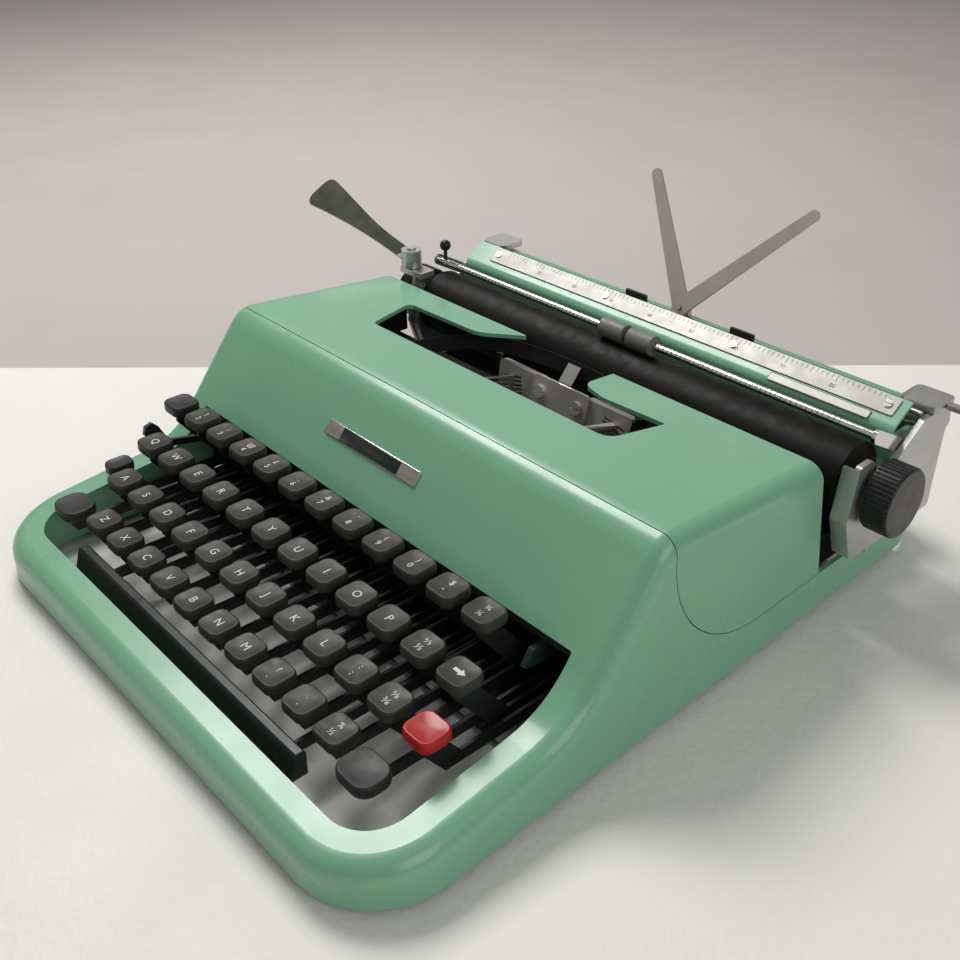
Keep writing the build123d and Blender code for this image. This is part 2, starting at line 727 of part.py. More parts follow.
def carriage_frame():
    """Carriage ends, bed channel on the rail, rear tie bar, release tabs and the lever's post."""
    t = END_PLATE_THICKNESS
    pieces = [
        end_plate(CARRIAGE_LEFT, CARRIAGE_LEFT + t),
        end_plate(CARRIAGE_RIGHT - t, CARRIAGE_RIGHT),
    ]
    inner_left, inner_right = CARRIAGE_LEFT + t, CARRIAGE_RIGHT - t
    front = [(77.0 + t / 2, 31.5), (70.5 + t / 2 + 0.4, 50.0), (75.0 + t / 2 + 0.2, 72.0)]
    for x1, x2 in ((inner_left, inner_left + FLANGE_WIDTH - t), (inner_right - FLANGE_WIDTH + t, inner_right)):
        pieces.append(sheet_profile(front, x1, x2, 2.0))
    bed = [(RAIL_Y - 9, BED_Z - 5), (RAIL_Y - 4, BED_Z), (RAIL_Y + 4, BED_Z), (RAIL_Y + 9, BED_Z - 5)]
    pieces.append(sheet_profile(bed, inner_left, inner_right, 1.6, radius=1.5))
    pieces.append(rod_along_x(inner_left, inner_right, 133.0, 72.0, 6.0))
    pieces.append(rod_along_x(inner_left, inner_right, 130.0, 40.0, 5.0))
    for x1, x2 in ((CARRIAGE_LEFT - 2.0, inner_left + 13.0), (inner_right - 13.0, CARRIAGE_RIGHT + 2.0)):
        with BuildPart() as tab:
            with BuildSketch(Plane.XY.offset(79.0)):
                with Locations(((x1 + x2) / 2, 136.0)):
                    RectangleRounded(x2 - x1, 16.0, 3.0)
            extrude(amount=3.0)
        pieces.append(tab.part)
    with BuildPart() as finger:
        with BuildSketch(Plane.XY.offset(80.0)):
            with Locations((CARRIAGE_RIGHT + 8.0, 136.0)):
                RectangleRounded(12.0, 4.0, 1.5)
        extrude(amount=2.0)
    pieces.append(finger.part)
    pieces.append(block_on(LEVER_BRACKET_Z, LEVER_BRACKET_HEIGHT, CARRIAGE_LEFT - 10.0,
                           inner_left + 5.0, 74.5, 84.0))
    post_low = LEVER_BRACKET_Z + LEVER_BRACKET_HEIGHT
    with BuildPart() as post:
        with BuildSketch(Plane.XY.offset(post_low)):
            with Locations((LEVER_PIVOT_X, LEVER_PIVOT_Y)):
                Circle(2.5)
        extrude(amount=LEVER_POST_TOP + 7.0 - post_low)
    pieces.append(post.part)
    return separate(*pieces)


TABLE_LEFT = CARRIAGE_LEFT + END_PLATE_THICKNESS + 3.5
TABLE_RIGHT = CARRIAGE_RIGHT - END_PLATE_THICKNESS - 3.5
RULER_LEFT = CARRIAGE_REST_X - 117.0
RULER_RIGHT = CARRIAGE_REST_X + 127.0
LEAN = math.radians(TABLE_LEAN)
TABLE_FOOT = (108.5, 62.0)
TABLE_BEND = (108.5, 76.0)
TABLE_LENGTH = 15.5
TABLE_TOP = (TABLE_BEND[0] + TABLE_LENGTH * math.cos(LEAN), TABLE_BEND[1] + TABLE_LENGTH * math.sin(LEAN))
TABLE_THICKNESS = 1.4
REAR_COVER = ((133.0, 77.8), (141.0, 75.8), (141.0, 56.0))


def paper_table():
    """Leaning paper table with the margin scale, its screws, two margin stops and the rear cover."""
    pieces = [sheet_profile([TABLE_FOOT, TABLE_BEND, TABLE_TOP], TABLE_LEFT, TABLE_RIGHT, TABLE_THICKNESS, 4.0)]
    along = Vector(0, math.cos(LEAN), math.sin(LEAN))
    normal = Vector(0, -math.sin(LEAN), math.cos(LEAN))
    middle_x = (RULER_LEFT + RULER_RIGHT) / 2
    top = Vector(middle_x, TABLE_TOP[0], TABLE_TOP[1]) - along * (RULER_WIDTH / 2 + 0.6)
    seat = top + normal * (TABLE_THICKNESS / 2)
    with BuildPart() as ruler:
        with BuildSketch(Plane(origin=seat, x_dir=(1, 0, 0), z_dir=normal)):
            RectangleRounded(RULER_RIGHT - RULER_LEFT, RULER_WIDTH, 1.0)
        extrude(amount=0.8)
    pieces.append(ruler.part)
    span = RULER_RIGHT - RULER_LEFT - 8.0
    for share in (-0.5, -1 / 6, 1 / 6, 0.5):
        place = seat + normal * 0.8 + Vector(share * span, 0, 0)
        pieces.append(slotted_screw(Plane(origin=place, x_dir=(1, 0, 0), z_dir=normal), 3.6, 0.7))
    pieces.append(sheet_profile(list(REAR_COVER), TABLE_LEFT, TABLE_RIGHT, 1.4, 3.0))
    rail_y, rail_z = TABLE_TOP[0] + 2.5, TABLE_TOP[1] - 4.75
    pieces.append(rod_along_x(TABLE_LEFT - 3.4, TABLE_RIGHT + 3.4, rail_y, rail_z, 3.0))
    for x in (CARRIAGE_REST_X - 20.0, CARRIAGE_REST_X + 44.0):
        pieces.append(box_between(x - 6.5, x + 6.5, rail_y - 1.8, rail_y - 0.3, rail_z + 1.5, rail_z + 8.0))
    bracket_y = (TABLE_FOOT[0] + TABLE_THICKNESS / 2, REAR_COVER[2][0] - TABLE_THICKNESS / 2)
    for x in (TABLE_LEFT + 4.0, TABLE_RIGHT - 4.0):
        pieces.append(box_between(x - 1.0, x + 1.0, *bracket_y, 62.0, 68.7))
    pieces.append(support_pin())
    return separate(*pieces)


def platen():
    """Rubber-covered roller on its shaft with a knurled knob at each end."""
    t = END_PLATE_THICKNESS
    inner_left, inner_right = CARRIAGE_LEFT + t, CARRIAGE_RIGHT - t
    with BuildPart() as roller:
        with BuildSketch(Plane.YZ.offset(inner_left + 7.0)):
            with Locations((PLATEN_Y, PLATEN_Z)):
                Circle(PLATEN_DIAMETER / 2)
        extrude(amount=inner_right - inner_left - 14.0)
    shaft = rod_along_x(CARRIAGE_LEFT - 2.0 - KNOB_WIDTH + 3, CARRIAGE_RIGHT + 2.0 + KNOB_WIDTH - 3,
                        PLATEN_Y, PLATEN_Z, PLATEN_SHAFT_DIAMETER)
    with BuildPart() as whole:
        add(roller.part)
        add(shaft)
        for x1 in (CARRIAGE_LEFT - 2.0 - KNOB_WIDTH, CARRIAGE_RIGHT + 2.0):
            add(knob(x1))
    return whole.part


def knob(x1):
    """Platen knob with fine grip flutes."""
    flutes = 48
    with BuildPart() as grip:
        with BuildSketch(Plane.YZ.offset(x1)):
            with Locations((PLATEN_Y, PLATEN_Z)):
                Circle(KNOB_DIAMETER / 2)
        extrude(amount=KNOB_WIDTH)
        fillet(grip.edges().filter_by(GeomType.CIRCLE), 1.2)
        with BuildSketch(Plane.YZ.offset(x1)):
            with Locations((PLATEN_Y, PLATEN_Z)):
                with PolarLocations(KNOB_DIAMETER / 2 + 0.1, flutes):
                    Circle(0.55)
        extrude(amount=KNOB_WIDTH, mode=Mode.SUBTRACT)
    return grip.part


def paper_bail():
    """Bail rod with two rollers, carried by an arm at each end."""
    half = CARRIAGE_HALF - END_PLATE_THICKNESS - 0.5
    arm_thickness = 1.6
    x1, x2 = CARRIAGE_REST_X - half, CARRIAGE_REST_X + half
    pieces = [rod_along_x(x1, x2, BAIL_Y, BAIL_Z, BAIL_DIAMETER)]
    for x in (x1, x2 - arm_thickness):
        with BuildPart() as arm:
            with BuildSketch(Plane.YZ.offset(x)):
                with BuildLine():
                    Line((BAIL_Y, BAIL_Z), (BAIL_PIVOT_Y, BAIL_PIVOT_Z))
                trace(line_width=6.0)
                with Locations((BAIL_Y, BAIL_Z), (BAIL_PIVOT_Y, BAIL_PIVOT_Z)):
                    Circle(3.0)
                with Locations((BAIL_Y, BAIL_Z)):
                    Circle(BAIL_DIAMETER / 2, mode=Mode.SUBTRACT)
            extrude(amount=arm_thickness)
        pieces.append(arm.part)
    for offset_x in (-12.0, 5.0):
        with BuildPart() as roller:
            with BuildSketch(Plane.YZ.offset(CARRIAGE_REST_X + offset_x)):
                with Locations((BAIL_Y, BAIL_Z)):
                    Circle(BAIL_ROLLER_DIAMETER / 2)
                    Circle(BAIL_DIAMETER / 2, mode=Mode.SUBTRACT)
            extrude(amount=14.0)
        pieces.append(roller.part)
    with BuildPart() as knob_ball:
        with BuildSketch(Plane.XY.offset(BAIL_Z + BAIL_DIAMETER / 2 - 0.3)):
            with Locations((x1 + 6.0, BAIL_Y)):
                Circle(1.0)
        extrude(amount=6.0)
        with Locations((x1 + 6.0, BAIL_Y, BAIL_Z + 9.5)):
            Sphere(3.0)
    pieces.append(knob_ball.part)
    return separate(*pieces)


def return_lever():
    """Line-space lever: hub on the post and a blade widening to the finger end."""
    hub_low = LEVER_BRACKET_Z + LEVER_BRACKET_HEIGHT + STATIC_CLEARANCE
    rise, forward = 0.33, 0.12
    length = 72.0
    direction = Vector(-1, -forward, rise).normalized()
    width_dir = Vector(0, 0.8, 0.6)
    width_dir = (width_dir - direction * width_dir.dot(direction)).normalized()
    with BuildPart() as hub:
        with BuildSketch(Plane.XY.offset(hub_low)):
            with Locations((LEVER_PIVOT_X, LEVER_PIVOT_Y)):
                Circle(5.5)
                Circle(2.5 + SHAFT_CLEARANCE, mode=Mode.SUBTRACT)
        extrude(amount=LEVER_POST_TOP + 6.0 - hub_low)
    start = Vector(LEVER_PIVOT_X, LEVER_PIVOT_Y, LEVER_POST_TOP + 0.5) + direction * 4.6
    plane = Plane(origin=start, x_dir=direction, z_dir=direction.cross(width_dir))
    with BuildPart() as blade:
        with BuildSketch(plane):
            with BuildLine():
                top_edge = Spline((0, 3.6), (20, 3.8), (length - 6.0, 10.0), tangents=[(1, 0), (1, 0.12)])
                tip = Spline(top_edge @ 1, (length, 0.5), (length - 3.0, -9.5), tangents=[(1, 0.12), (-1, -0.5)])
                low_edge = Spline(tip @ 1, (20, -3.8), (0, -3.6))
                Line(low_edge @ 1, top_edge @ 0)
            make_face()
        extrude(amount=1.0, both=True)
    return separate(hub.part, blade.part)


SUPPORT_RISE = math.radians(SUPPORT_LEAN)
SUPPORT_UP = Vector(0, math.cos(SUPPORT_RISE), math.sin(SUPPORT_RISE))
SUPPORT_NORMAL = Vector(0, -math.sin(SUPPORT_RISE), math.cos(SUPPORT_RISE))


def paper_support(side, level):
    """Folding flat arm that holds the sheet up behind the paper table."""
    turn = math.radians(SUPPORT_SPREAD) * side
    reach_dir = Vector(1, 0, 0) * math.sin(turn) + SUPPORT_UP * math.cos(turn)
    origin = Vector(SUPPORT_X, SUPPORT_Y, SUPPORT_Z) + SUPPORT_NORMAL * level
    plane = Plane(origin=origin, x_dir=reach_dir, z_dir=SUPPORT_NORMAL)
    with BuildPart() as arm:
        with BuildSketch(plane):
            with BuildLine():
                Polyline((0, -4.5), (SUPPORT_LENGTH, -2.8), (SUPPORT_LENGTH, 2.8), (0, 4.5), close=True)
            make_face()
            with Locations((0, 0)):
                Circle(4.5)
            with Locations((SUPPORT_LENGTH, 0)):
                Circle(2.8)
            with Locations((0, 0)):
                Circle(SUPPORT_PIN_DIAMETER / 2 + SHAFT_CLEARANCE, mode=Mode.SUBTRACT)
        extrude(amount=SUPPORT_THICKNESS)
    return arm.part


def support_pin():
    """Pin and bracket on the paper table that both support arms turn on."""
    origin = Vector(SUPPORT_X, SUPPORT_Y, SUPPORT_Z)
    plane = Plane(origin=origin, x_dir=(1, 0, 0), z_dir=SUPPORT_NORMAL)
    with BuildPart() as pin:
        with BuildSketch(plane.offset(-2.0)):
            Circle(SUPPORT_PIN_DIAMETER / 2)
        extrude(amount=6.0)
        add(box_between(SUPPORT_X - 3.0, SUPPORT_X + 3.0, SUPPORT_Y + 1.4, REAR_COVER[0][0],
                        REAR_COVER[0][1] + 0.8, SUPPORT_Z + 1.0))
    return pin.part


def shift_lock():
    """Shift lock: a narrower cap set beside the first letter key, behind the left shift."""
    y, top = -107.0, 36.5
    cap = key_cap(LOCK_CAP_X, y, top, width=9.4, depth=12.0, radius=3.0)
    return separate(key_lever(LOCK_X, y, top - CAP_HEIGHT), cap)


os.makedirs("parts", exist_ok=True)
save(lower_housing(), "lower_housing")
save(ribbon_cover(), "ribbon_cover")
save(chassis_frame(), "chassis_frame")
save(type_basket(), "type_basket")
for row, names in KEY_ROWS.items():
    for number, name in enumerate(names):
        x = column_x(ROW_FIRST_COLUMN[row] + number)
        save(key(x, ROW_Y[row], ROW_TOP[row]), f"key_{name}")
save(key(TAB_X, ROW_Y[3], ROW_TOP[3]), "tab_key")
save(key(ARROW_X, ROW_Y[2], ROW_TOP[2]), "backspace_key")
save(key(MARGIN_X, ROW_Y[1], ROW_TOP[1]), "margin_release_key")
save(shift_lock(), "shift_lock_key")
save(space_bar(), "space_bar")
save(shift_keys(), "shift_keys")
save(carriage_frame(), "carriage_frame")
save(paper_table(), "paper_table")
save(platen(), "platen")
save(paper_bail(), "paper_bail")
save(return_lever(), "return_lever")
save(paper_support(-1, 0.0), "paper_support_left")
save(paper_support(1, SUPPORT_THICKNESS + STATIC_CLEARANCE), "paper_support_right")
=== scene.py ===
import json
import math

import bmesh
import bpy
from mathutils import Matrix, Vector


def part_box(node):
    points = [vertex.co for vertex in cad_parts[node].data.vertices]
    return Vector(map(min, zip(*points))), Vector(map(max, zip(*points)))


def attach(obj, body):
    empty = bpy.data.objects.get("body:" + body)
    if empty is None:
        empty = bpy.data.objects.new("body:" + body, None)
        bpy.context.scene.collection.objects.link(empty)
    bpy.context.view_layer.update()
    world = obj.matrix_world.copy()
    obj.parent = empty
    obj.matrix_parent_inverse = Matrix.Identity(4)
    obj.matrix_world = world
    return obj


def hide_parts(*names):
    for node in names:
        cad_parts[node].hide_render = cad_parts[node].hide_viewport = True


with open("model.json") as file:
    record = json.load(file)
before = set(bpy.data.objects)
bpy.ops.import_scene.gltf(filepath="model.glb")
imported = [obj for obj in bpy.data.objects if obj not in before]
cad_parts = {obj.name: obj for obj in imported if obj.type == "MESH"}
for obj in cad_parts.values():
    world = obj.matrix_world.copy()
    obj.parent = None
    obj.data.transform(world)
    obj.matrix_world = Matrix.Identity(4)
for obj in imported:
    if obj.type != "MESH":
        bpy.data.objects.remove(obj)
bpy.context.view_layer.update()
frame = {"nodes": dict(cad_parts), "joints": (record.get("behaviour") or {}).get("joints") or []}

NODES = frame["nodes"]
MM = 0.001


def joint_place(name):
    """Where a joint's axis stands, in metres."""
    return Vector(next(j["pos_m"] for j in frame["joints"] if j["name"] == name))


PLATEN_AXIS = joint_place("platen_turn")
CARRIAGE_X = PLATEN_AXIS.x
CARRIAGE_HALF = 137.0 * MM
CHARACTER_PITCH = 2.54 * MM
TABLE_BEND = PLATEN_AXIS + Vector((0, 19.9, 17.0)) * MM
TABLE_LENGTH = 15.5 * MM
TABLE_FACE = 0.72 * MM
TABLE_LEAN = math.radians(30.0)
TABLE_ALONG = Vector((0, math.cos(TABLE_LEAN), math.sin(TABLE_LEAN)))
TABLE_NORMAL = Vector((0, -math.sin(TABLE_LEAN), math.cos(TABLE_LEAN)))
RULER_CENTRE = TABLE_BEND + TABLE_ALONG * 10.2 * MM + TABLE_NORMAL * 1.5 * MM
RULER_LEFT = CARRIAGE_X - 117.0 * MM
RULER_RIGHT = CARRIAGE_X + 127.0 * MM
BAIL_ROD = PLATEN_AXIS + Vector((0, 2.4, 22.0)) * MM
PANEL_LIP_Y = -58.0 * MM
PANEL_FOOT = Vector((0, -71.4, 28.16)) * MM
PANEL_SLOPE = math.atan(1.295)
SPOOL_X = 84.0 * MM
SPOOL_Y = 5.0 * MM
CAP_HEIGHT = 5.5 * MM
CAP_HALF_DEPTH = 6.6 * MM
DISH = 0.42 * MM
LETTERING_DEPTH = 0.06 * MM
SOFT_EDGE = 0.3 * MM


# ---------------------------------------------------------------- materials


def noise(tree, place, scale, detail=4.0, rough=0.55):
    """A noise texture in the object's own space."""
    node = tree.nodes.new("ShaderNodeTexNoise")
    node.inputs["Scale"].default_value = scale
    node.inputs["Detail"].default_value = detail
    node.inputs["Roughness"].default_value = rough
    tree.links.new(place.outputs["Object"], node.inputs["Vector"])
    return node


def remap(tree, source, low, high, from_low=0.3, from_high=0.7):
    """Turns a noise value into a range."""
    node = tree.nodes.new("ShaderNodeMapRange")
    node.inputs["From Min"].default_value = from_low
    node.inputs["From Max"].default_value = from_high
    node.inputs["To Min"].default_value = low
    node.inputs["To Max"].default_value = high
    tree.links.new(source, node.inputs["Value"])
    return node.outputs["Result"]


def surface(name, colour, rough, metal=0.0, mottle=0.06, patch=45.0, grain=900.0, bump=0.06,
            bump_depth=0.00004, coat=0.0, specks=0.0, brushed=None, shine=0.5):
    """A finish: base colour with soft patches, uneven gloss, fine relief, and specks of wear."""
    material = bpy.data.materials.new(name)
    material.use_nodes = True
    tree = material.node_tree
    shader = tree.nodes["Principled BSDF"]
    shader.inputs["Metallic"].default_value = metal
    shader.inputs["Coat Weight"].default_value = coat
    shader.inputs["Coat Roughness"].default_value = 0.12
    shader.inputs["Specular IOR Level"].default_value = shine
    place = tree.nodes.new("ShaderNodeTexCoord")
    patches = noise(tree, place, patch)
    blend = tree.nodes.new("ShaderNodeMix")
    blend.data_type = "RGBA"
    blend.inputs["A"].default_value = (*[c * (1 - mottle) for c in colour], 1)
    blend.inputs["B"].default_value = (*[min(c * (1 + mottle), 1.0) for c in colour], 1)
    tree.links.new(remap(tree, patches.outputs["Fac"], 0.0, 1.0), blend.inputs["Factor"])
    colour_out = blend.outputs["Result"]
    if specks:
        dots = noise(tree, place, grain * 0.5, 8.0, 0.7)
        worn = tree.nodes.new("ShaderNodeMix")
        worn.data_type = "RGBA"
        worn.inputs["B"].default_value = (*[min(c * 1.5 + 0.05, 1.0) for c in colour], 1)
        tree.links.new(remap(tree, dots.outputs["Fac"], 0.0, specks, 0.62, 0.75), worn.inputs["Factor"])
        tree.links.new(colour_out, worn.inputs["A"])
        colour_out = worn.outputs["Result"]
    tree.links.new(colour_out, shader.inputs["Base Color"])
    gloss = noise(tree, place, patch * 3.0)
    tree.links.new(remap(tree, gloss.outputs["Fac"], rough * 0.82, min(rough * 1.2, 1.0)),
                   shader.inputs["Roughness"])
    relief = noise(tree, place, grain, 3.0)
    if brushed:
        stretch = tree.nodes.new("ShaderNodeMapping")
        stretch.inputs["Scale"].default_value = brushed
        tree.links.new(place.outputs["Object"], stretch.inputs["Vector"])
        tree.links.new(stretch.outputs["Vector"], relief.inputs["Vector"])
    raise_up = tree.nodes.new("ShaderNodeBump")
    raise_up.inputs["Strength"].default_value = bump
    raise_up.inputs["Distance"].default_value = bump_depth
    tree.links.new(relief.outputs["Fac"], raise_up.inputs["Height"])
    tree.links.new(raise_up.outputs["Normal"], shader.inputs["Normal"])
    return material


enamel = surface("green_enamel", (0.185, 0.425, 0.262), 0.30, mottle=0.035, patch=14.0, grain=700.0,
                 bump=0.12, bump_depth=0.00005, coat=0.2)
# Dark green enamel, made darker still as painted shade for the lever under the panel's right end.
enamel_dark_and_shade = surface("dark_green_enamel_and_painted_shade", (0.016, 0.040, 0.032), 0.35, coat=0.3)
# Black paint of the frame, also used as painted shade on the lip edge and on the sheet under the levers.
black_paint_and_shade = surface("black_frame_paint_and_painted_shade", (0.012, 0.012, 0.013), 0.45, mottle=0.2, specks=0.2)
lever_steel = surface("blackened_steel", (0.014, 0.014, 0.015), 0.45, metal=0.2, mottle=0.25, specks=0.5,
                      brushed=(1.0, 0.08, 1.0))
steel = surface("plated_steel", (0.50, 0.49, 0.46), 0.30, metal=1.0, mottle=0.12, specks=0.3,
                brushed=(1.0, 0.1, 1.0))
segment_steel = surface("segment_steel", (0.60, 0.58, 0.54), 0.36, metal=0.35, mottle=0.18, specks=0.4)
typebar_steel = surface("typebar_steel", (0.22, 0.215, 0.20), 0.34, metal=0.5, mottle=0.25, specks=0.4)
chrome = surface("chrome", (0.72, 0.71, 0.69), 0.14, metal=1.0, mottle=0.05, specks=0.15)
satin_grey = surface("satin_grey_metal", (0.47, 0.47, 0.46), 0.34, metal=0.75, mottle=0.06, specks=0.25,
                     brushed=(1.0, 0.3, 1.0))
bail_grey = surface("bail_roller_grey", (0.16, 0.155, 0.14), 0.50, mottle=0.12, specks=0.2)
rubber = surface("platen_rubber", (0.006, 0.006, 0.0055), 0.5, mottle=0.2, bump=0.3, specks=0.12,
                 grain=1500.0, shine=0.12)
foot_rubber = surface("foot_rubber", (0.02, 0.02, 0.02), 0.8, mottle=0.2, bump=0.4)
key_plastic = surface("key_plastic", (0.034, 0.034, 0.028), 0.40, mottle=0.12, patch=70.0,
                      specks=0.08, bump=0.1, shine=0.22)
blank_plastic = surface("blank_key_plastic", (0.022, 0.023, 0.023), 0.42, mottle=0.12, shine=0.25)
red_plastic = surface("red_key_plastic", (0.40, 0.006, 0.009), 0.30, mottle=0.08, coat=0.1, shine=0.3)
bar_plastic = surface("space_bar_plastic", (0.010, 0.011, 0.011), 0.32, mottle=0.15, specks=0.1, shine=0.3)
knob_plastic = surface("knob_plastic", (0.012, 0.012, 0.012), 0.32, mottle=0.12, specks=0.1, shine=0.35)
legend_white = surface("legend_ivory", (0.66, 0.66, 0.60), 0.5, mottle=0.08)
ruler_white = surface("ruler_ivory", (0.44, 0.43, 0.38), 0.38, metal=0.1, mottle=0.05, specks=0.1)
label_white = surface("label_ivory", (0.70, 0.68, 0.62), 0.38, mottle=0.05, specks=0.1)
# Black ink for print, also used as painted shade in the gap round the table label.
ink_and_shade = surface("ink_and_shade", (0.05, 0.045, 0.04), 0.5, mottle=0.2)
support_grey = surface("support_grey", (0.36, 0.33, 0.295), 0.42, metal=0.2, mottle=0.06, specks=0.2)
lever_olive = surface("lever_satin", (0.060, 0.068, 0.046), 0.30, metal=0.3, mottle=0.15, specks=0.3)
badge_silver = surface("badge_silver", (0.62, 0.60, 0.55), 0.22, metal=1.0, mottle=0.08, specks=0.2,
                       brushed=(0.1, 1.0, 1.0))
badge_black = surface("badge_black", (0.008, 0.008, 0.008), 0.22, mottle=0.1, coat=0.5)
ribbon_cloth = surface("ribbon_cloth", (0.010, 0.010, 0.012), 0.85, mottle=0.3, grain=4000.0, bump=0.5)


# ---------------------------------------------------------------- mesh helpers


def new_object(name, mesh, material, body):
    """An object in the scene with its finish, riding on a CAD body."""
    piece = bpy.data.objects.new(name, mesh)
    bpy.context.scene.collection.objects.link(piece)
    mesh.materials.clear()
    mesh.materials.append(material)
    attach(piece, body)
    return piece


def mesh_from(bm, name, smooth_angle=35.0):
    """A mesh from bmesh, smooth except where faces meet sharply."""
    mesh = bpy.data.meshes.new(name)
    bm.normal_update()
    for edge in bm.edges:
        if len(edge.link_faces) == 2:
            edge.smooth = edge.calc_face_angle(0.0) < math.radians(smooth_angle)
    for face in bm.faces:
        face.smooth = True
    bm.to_mesh(mesh)
    bm.free()
    return mesh


def paint(node, default, *rules):
    """Gives a CAD node its finishes: the first rule that a face's middle meets, or the default."""
    mesh = NODES[node].data
    mesh.materials.clear()
    mesh.materials.append(default)
    for material, _ in rules:
        mesh.materials.append(material)
    for face in mesh.polygons:
        face.material_index = next(
            (i + 1 for i, (_, rule) in enumerate(rules) if rule(face.center)), 0)


def copy_faces(node, test, name):
    """A mesh of those faces of a CAD node whose middles pass the test."""
    bm = bmesh.new()
    bm.from_mesh(NODES[node].data)
    bmesh.ops.delete(bm, geom=[f for f in bm.faces if not test(f.calc_center_median())], context="FACES")
    bmesh.ops.remove_doubles(bm, verts=bm.verts, dist=1e-6)
    return mesh_from(bm, name)


def rounded_loop(width, depth, radius, steps=6):
    """Points of a rounded rectangle, anticlockwise."""
    points = []
    for corner, (sx, sy) in enumerate(((1, 1), (-1, 1), (-1, -1), (1, -1))):
        middle = Vector((sx * (width / 2 - radius), sy * (depth / 2 - radius)))
        for step in range(steps + 1):
            turn = math.radians(90.0 * (corner + step / steps))
            points.append(middle + Vector((math.cos(turn), math.sin(turn))) * radius)
    return points


def lofted(levels, name, smooth_angle=50.0):
    """A solid through stacked rounded rectangles, each (width, depth, radius, z); closed at both ends."""
    bm = bmesh.new()
    loops = []
    for width, depth, radius, z in levels:
        loops.append([bm.verts.new((p.x, p.y, z)) for p in rounded_loop(width, depth, radius)])
    count = len(loops[0])
    for low, high in zip(loops, loops[1:]):
        for i in range(count):
            j = (i + 1) % count
            bm.faces.new((low[i], low[j], high[j], high[i]))
    bm.faces.new(loops[-1])
    bm.faces.new(list(reversed(loops[0])))
    return mesh_from(bm, name, smooth_angle)


def box_mesh(low, high, name, bevel=0.0):
    """A block between two corners, with softened edges where a bevel is given."""
    bm = bmesh.new()
    bmesh.ops.create_cube(bm, size=1.0)
    low, high = Vector(low), Vector(high)
    for v in bm.verts:
        v.co = Vector((low[i] if v.co[i] < 0 else high[i]) for i in range(3))
    if bevel:
        bmesh.ops.bevel(bm, geom=list(bm.edges), offset=bevel, segments=2, affect="EDGES", profile=0.6)
    return mesh_from(bm, name, 60.0)


def text_mesh(words, size, depth):
    """Lettering as a thin solid mesh lying in the XY plane, centred."""
    curve = bpy.data.curves.new("words", "FONT")
    curve.body = words
    curve.size = size
    curve.extrude = depth
    curve.align_x = "CENTER"
    curve.align_y = "CENTER"
    curve.space_line = 1.12
    holder = bpy.data.objects.new("words", curve)
    bpy.context.scene.collection.objects.link(holder)
    bpy.context.view_layer.update()
    mesh = bpy.data.meshes.new_from_object(holder.evaluated_get(bpy.context.evaluated_depsgraph_get()))
    bpy.data.objects.remove(holder)
    return mesh


def placed(mesh, origin, x_dir, z_dir):
    """Moves a flat mesh onto a plane with its own X direction and normal."""
    x_dir, z_dir = Vector(x_dir).normalized(), Vector(z_dir).normalized()
    y_dir = z_dir.cross(x_dir)
    turn = Matrix((x_dir, y_dir, z_dir)).transposed().to_4x4()
    mesh.transform(Matrix.Translation(origin) @ turn)
    return mesh


def joined(meshes, name):
    """Several meshes as one."""
    bm = bmesh.new()
    for mesh in meshes:
        bm.from_mesh(mesh)
    return mesh_from(bm, name)


# ---------------------------------------------------------------- keys

KEY_LEGENDS = {
    "2": "!\n2", "3": "/\n3", "4": "@\n4", "5": "£\n5", "6": "_\n6", "7": "&\n7", "8": "'\n8",
    "9": "(\n9", "0": ")\n0", "hyphen": "$\n-", "three_quarters": "¾\n¼",
    "one_third": "⅔\n⅓", "semicolon": ":\n;", "eighths": "⅝\n⅜",
    "comma": "?\n,", "period": ".\n.", "one_half": "%\n½",
}


def cap_mesh(width, depth, radius, name):
    """A moulded key top: flared skirt, rounded shoulder and a dished face. Its top is at z = 0."""
    w, d, r, h = width, depth, radius, CAP_HEIGHT
    grow = ((0.60, -h), (0.86, -h + 0.4 * MM), (0.97, -h + 1.0 * MM), (1.0, -h + 1.9 * MM),
            (0.995, -1.3 * MM), (0.975, -0.5 * MM), (0.95, -0.14 * MM), (0.92, 0.0), (0.87, -0.03 * MM),
            (0.72, -0.18 * MM), (0.55, -0.34 * MM), (0.36, -0.45 * MM), (0.16, -0.50 * MM))
    return lofted([(w * s, d * s, r * s, z) for s, z in grow], name, smooth_angle=80.0)


letter_cap = cap_mesh(14.0 * MM, 13.3 * MM, 3.6 * MM, "letter_cap")
shift_cap = cap_mesh(18.0 * MM, 15.0 * MM, 5.6 * MM, "shift_cap")
lock_cap = cap_mesh(9.4 * MM, 12.0 * MM, 3.2 * MM, "lock_cap")


def cap_piece(node, shape, middle, material, suffix=""):
    """One key top in its place."""
    mesh = shape.copy()
    mesh.transform(Matrix.Translation(middle))
    return new_object(f"cap_{node}{suffix}", mesh, material, node)


def key_lever(node, cap_low):
    """The steel of a key node below its moulded top."""
    mesh = copy_faces(node, lambda c: c.z < cap_low - 0.01 * MM, f"lever_{node}")
    new_object(f"lever_{node}", mesh, lever_steel, node)


def legend(node, words, top, size):
    """White lettering on the dished face."""
    mesh = text_mesh(words, size, LETTERING_DEPTH)
    mesh.transform(Matrix.Translation(top + Vector((0, 0, -DISH))))
    new_object(f"legend_{node}", mesh, legend_white, node)


def typing_key(node, words, material=key_plastic):
    """A key top, its lever and its lettering."""
    low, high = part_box(node)
    top = Vector(((low.x + high.x) / 2, low.y + CAP_HALF_DEPTH, high.z))
    cap = cap_piece(node, letter_cap, top, material)
    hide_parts(node)
    key_lever(node, high.z - CAP_HEIGHT)
    if words:
        legend(node, words, top, 5.0 * MM if len(words) == 1 else 3.8 * MM)


for node in sorted(NODES):
    if node.startswith("key_"):
        name = node[4:]
        typing_key(node, KEY_LEGENDS.get(name, name.upper()))
typing_key("tab_key", "", red_plastic)
typing_key("margin_release_key", "", blank_plastic)
typing_key("backspace_key", "")


